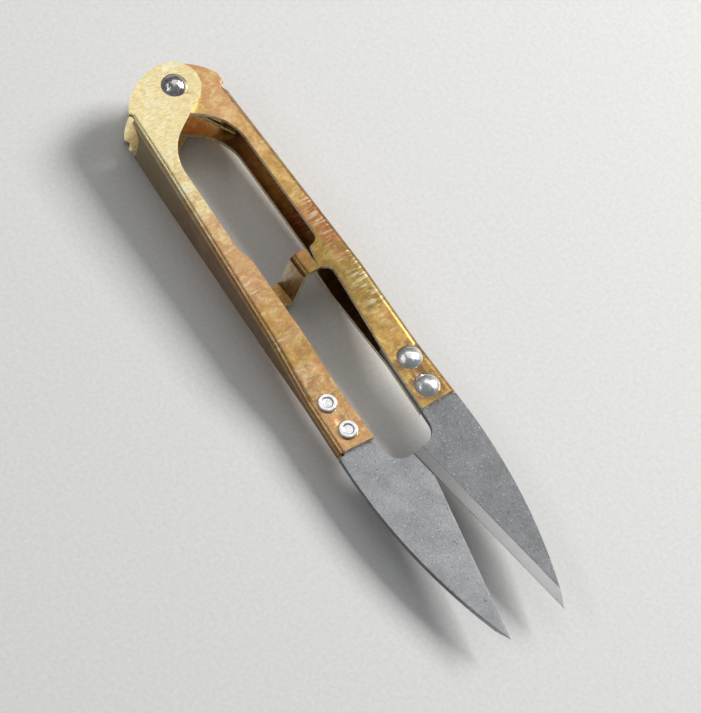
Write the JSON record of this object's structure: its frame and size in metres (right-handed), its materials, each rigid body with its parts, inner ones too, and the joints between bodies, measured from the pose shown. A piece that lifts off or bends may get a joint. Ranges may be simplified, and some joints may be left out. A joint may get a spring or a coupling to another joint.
{
  "type": "thread snips",
  "caption": "Spring-loaded thread snips: folded sheet-metal handles joined at a rear pivot, each with a riveted bevelled blade, squeezed shut to cut thread.",
  "frame": {"origin": "on the plane of the lowest point, under the middle of the bounding box; the pivot axis is at x = -0.04957 m, y = 0.00085 m, and the plane in which the blades slide is at z = 0.00520 m", "axes": "+X from the pivot to the blade tips, +Y to the inner handle with the stop tab, +Z along the pivot axis towards the pivot rivet's domed head"},
  "size_m": [0.1077, 0.0216, 0.0108],
  "materials": {
    "gold_outer": "yellow chromate, satin, slightly iridescent",
    "gold_inner": "yellow chromate, satin, blotched copper and green-gold",
    "blade_steel_lower": "fine matt ground",
    "blade_steel_upper": "fine matt ground",
    "rivet_steel": "bright zinc, hammered tails",
    "pivot_chrome": "dark polished",
    "spring_wire": "drawn wire, yellow chromate"
  },
  "bodies": {
    "outer_half": {"outer_handle": "gold_outer", "pivot_rivet": "pivot_chrome", "pivot_spring": "spring_wire", "lower_blade": "blade_steel_lower", "lower_rivet_rear": "rivet_steel", "lower_rivet_front": "rivet_steel"},
    "inner_half": {"inner_handle": "gold_inner", "upper_blade": "blade_steel_upper", "upper_rivet_rear": "rivet_steel", "upper_rivet_front": "rivet_steel"}
  },
  "joints": [
    {"name": "handle_pivot", "type": "hinge", "parent": "outer_half", "child": "inner_half", "pos_m": [-0.04956, 0.00085, 0.0052], "axis": [0, 0, -1], "range_deg": [0, 6.2], "stiffness_Nm_per_rad": 0.6, "springref_deg": -11.46, "deforming": ["pivot_spring"]}
  ]
}
